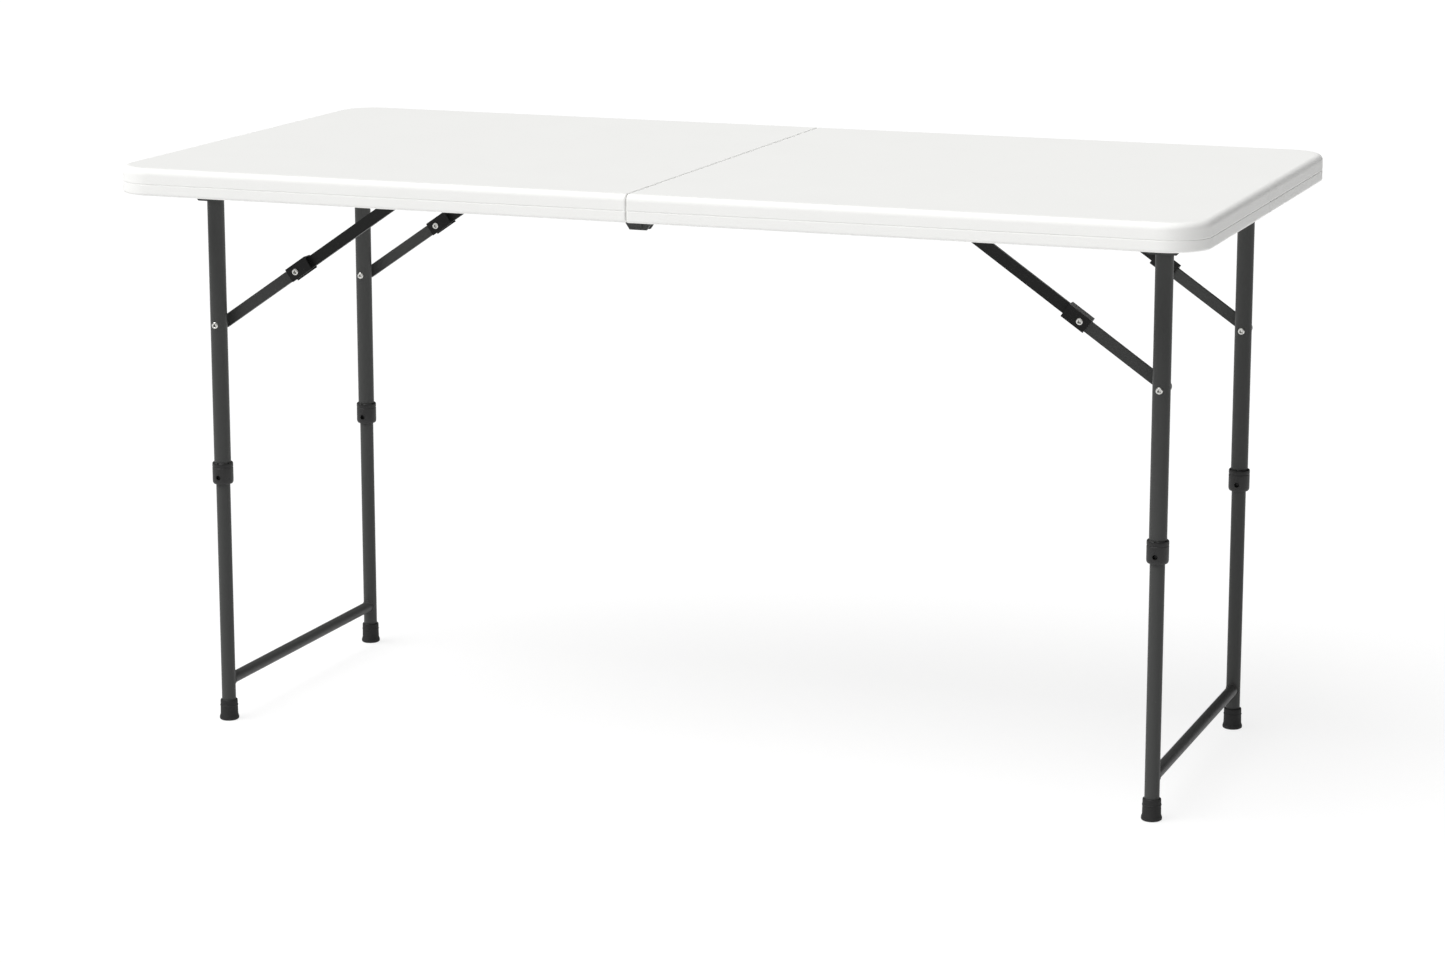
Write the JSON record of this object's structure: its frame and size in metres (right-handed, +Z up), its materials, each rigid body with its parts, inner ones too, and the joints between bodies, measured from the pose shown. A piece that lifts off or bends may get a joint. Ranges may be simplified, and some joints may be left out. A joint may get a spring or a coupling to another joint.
{
  "type": "folding table",
  "caption": "Fold-in-half utility table with a white plastic top on two telescoping steel leg frames, each leg with a folding brace.",
  "frame": {"origin": "on the floor, under the middle of the top", "axes": "+X along the table's length, -Y towards its front long side, +Z up"},
  "size_m": [1.22, 0.61, 0.65],
  "materials": {
    "white_plastic": "fine grain, semi-matt",
    "frame_steel": "charcoal powder coat",
    "arm_steel": "dark powder coat",
    "sleeve_steel": "black paint",
    "collar_plastic": "moulded, satin",
    "foot_rubber": "matt",
    "rivet_steel": "zinc plated",
    "pin_steel": "zinc plated",
    "screw_steel": "zinc plated",
    "button_steel": "black oxide",
    "spring_steel": "plain"
  },
  "bodies": {
    "left_half": {"left_top": "white_plastic", "left_rail_front": "frame_steel", "left_rail_rear": "frame_steel", "left_leg_brackets": "frame_steel", "left_brace_brackets": "frame_steel", "left_screws": "screw_steel", "left_brace_pins": "pin_steel", "hinge_pins": "frame_steel"},
    "right_half": {"right_top": "white_plastic", "right_rail_front": "frame_steel", "right_rail_rear": "frame_steel", "right_leg_brackets": "frame_steel", "right_brace_brackets": "frame_steel", "right_screws": "screw_steel", "right_brace_pins": "pin_steel"},
    "left_leg_frame": {"left_pivot_tube": "frame_steel", "left_upper_tube_front": "frame_steel", "left_upper_tube_rear": "frame_steel", "left_collar_front": "collar_plastic", "left_collar_rear": "collar_plastic", "left_leg_rivets": "rivet_steel"},
    "left_lower_frame": {"left_lower_tube_front": "frame_steel", "left_lower_tube_rear": "frame_steel", "left_crossbar": "frame_steel", "left_foot_front": "foot_rubber", "left_foot_rear": "foot_rubber", "left_button_springs": "spring_steel"},
    "left_snap_button_front": {"left_button_front": "button_steel"},
    "left_brace_upper_front": {"left_upper_arm_front": "arm_steel", "left_sleeve_front": "sleeve_steel", "left_joint_rivet_front": "rivet_steel"},
    "left_brace_lower_front": {"left_lower_arm_front": "frame_steel"},
    "left_snap_button_rear": {"left_button_rear": "button_steel"},
    "left_brace_upper_rear": {"left_upper_arm_rear": "arm_steel", "left_sleeve_rear": "sleeve_steel", "left_joint_rivet_rear": "rivet_steel"},
    "left_brace_lower_rear": {"left_lower_arm_rear": "frame_steel"},
    "right_leg_frame": {"right_pivot_tube": "frame_steel", "right_upper_tube_front": "frame_steel", "right_upper_tube_rear": "frame_steel", "right_collar_front": "collar_plastic", "right_collar_rear": "collar_plastic", "right_leg_rivets": "rivet_steel"},
    "right_lower_frame": {"right_lower_tube_front": "frame_steel", "right_lower_tube_rear": "frame_steel", "right_crossbar": "frame_steel", "right_foot_front": "foot_rubber", "right_foot_rear": "foot_rubber", "right_button_springs": "spring_steel"},
    "right_snap_button_front": {"right_button_front": "button_steel"},
    "right_brace_upper_front": {"right_upper_arm_front": "arm_steel", "right_sleeve_front": "sleeve_steel", "right_joint_rivet_front": "rivet_steel"},
    "right_brace_lower_front": {"right_lower_arm_front": "frame_steel"},
    "right_snap_button_rear": {"right_button_rear": "button_steel"},
    "right_brace_upper_rear": {"right_upper_arm_rear": "arm_steel", "right_sleeve_rear": "sleeve_steel", "right_joint_rivet_rear": "rivet_steel"},
    "right_brace_lower_rear": {"right_lower_arm_rear": "frame_steel"}
  },
  "joints": [
    {"name": "centre_fold", "type": "hinge", "parent": "left_half", "child": "right_half", "pos_m": [0, 0, 0.614], "axis": [0, 1, 0], "range_deg": [0, 75]},
    {"name": "left_leg_fold", "type": "hinge", "parent": "left_half", "child": "left_leg_frame", "pos_m": [-0.543, 0, 0.629], "axis": [0, -1, 0], "range_deg": [0, 90]},
    {"name": "left_height", "type": "slide", "parent": "left_leg_frame", "child": "left_lower_frame", "axis": [0, 0, 1], "range_m": [0, 0.1]},
    {"name": "left_button_press_front", "type": "slide", "parent": "left_lower_frame", "child": "left_snap_button_front", "axis": [0, 1, 0], "range_m": [0, 0.002], "stiffness_N_per_m": 2500, "springref_m": -0.001},
    {"name": "left_brace_upper_front", "type": "hinge", "parent": "left_half", "child": "left_brace_upper_front", "pos_m": [-0.298, -0.185, 0.629], "axis": [0, 1, 0], "range_deg": [0, 34.6]},
    {"name": "left_brace_joint_front", "type": "hinge", "parent": "left_brace_upper_front", "child": "left_brace_lower_front", "pos_m": [-0.45178, -0.185, 0.52292], "axis": [0, -1, 0], "range_deg": [0, 180]},
    {"name": "left_button_press_rear", "type": "slide", "parent": "left_lower_frame", "child": "left_snap_button_rear", "axis": [0, 1, 0], "range_m": [0, 0.002], "stiffness_N_per_m": 2500, "springref_m": -0.001},
    {"name": "left_brace_upper_rear", "type": "hinge", "parent": "left_half", "child": "left_brace_upper_rear", "pos_m": [-0.298, 0.185, 0.629], "axis": [0, 1, 0], "range_deg": [0, 34.6]},
    {"name": "left_brace_joint_rear", "type": "hinge", "parent": "left_brace_upper_rear", "child": "left_brace_lower_rear", "pos_m": [-0.45178, 0.185, 0.52292], "axis": [0, -1, 0], "range_deg": [0, 180]},
    {"name": "right_leg_fold", "type": "hinge", "parent": "right_half", "child": "right_leg_frame", "pos_m": [0.543, 0, 0.629], "axis": [0, 1, 0], "range_deg": [0, 90]},
    {"name": "right_height", "type": "slide", "parent": "right_leg_frame", "child": "right_lower_frame", "axis": [0, 0, 1], "range_m": [0, 0.1]},
    {"name": "right_button_press_front", "type": "slide", "parent": "right_lower_frame", "child": "right_snap_button_front", "axis": [0, 1, 0], "range_m": [0, 0.002], "stiffness_N_per_m": 2500, "springref_m": -0.001},
    {"name": "right_brace_upper_front", "type": "hinge", "parent": "right_half", "child": "right_brace_upper_front", "pos_m": [0.298, -0.185, 0.629], "axis": [0, -1, 0], "range_deg": [0, 34.6]},
    {"name": "right_brace_joint_front", "type": "hinge", "parent": "right_brace_upper_front", "child": "right_brace_lower_front", "pos_m": [0.45178, -0.185, 0.52292], "axis": [0, 1, 0], "range_deg": [0, 180]},
    {"name": "right_button_press_rear", "type": "slide", "parent": "right_lower_frame", "child": "right_snap_button_rear", "axis": [0, 1, 0], "range_m": [0, 0.002], "stiffness_N_per_m": 2500, "springref_m": -0.001},
    {"name": "right_brace_upper_rear", "type": "hinge", "parent": "right_half", "child": "right_brace_upper_rear", "pos_m": [0.298, 0.185, 0.629], "axis": [0, -1, 0], "range_deg": [0, 34.6]},
    {"name": "right_brace_joint_rear", "type": "hinge", "parent": "right_brace_upper_rear", "child": "right_brace_lower_rear", "pos_m": [0.45178, 0.185, 0.52292], "axis": [0, 1, 0], "range_deg": [0, 180]}
  ],
  "couplings": [
    {"joint": "left_brace_upper_front", "follows": "left_leg_fold", "ratio": 0.38442},
    {"joint": "left_brace_joint_front", "follows": "left_leg_fold", "ratio": 2},
    {"joint": "left_brace_upper_rear", "follows": "left_leg_fold", "ratio": 0.38442},
    {"joint": "left_brace_joint_rear", "follows": "left_leg_fold", "ratio": 2},
    {"joint": "right_brace_upper_front", "follows": "right_leg_fold", "ratio": 0.38442},
    {"joint": "right_brace_joint_front", "follows": "right_leg_fold", "ratio": 2},
    {"joint": "right_brace_upper_rear", "follows": "right_leg_fold", "ratio": 0.38442},
    {"joint": "right_brace_joint_rear", "follows": "right_leg_fold", "ratio": 2}
  ]
}
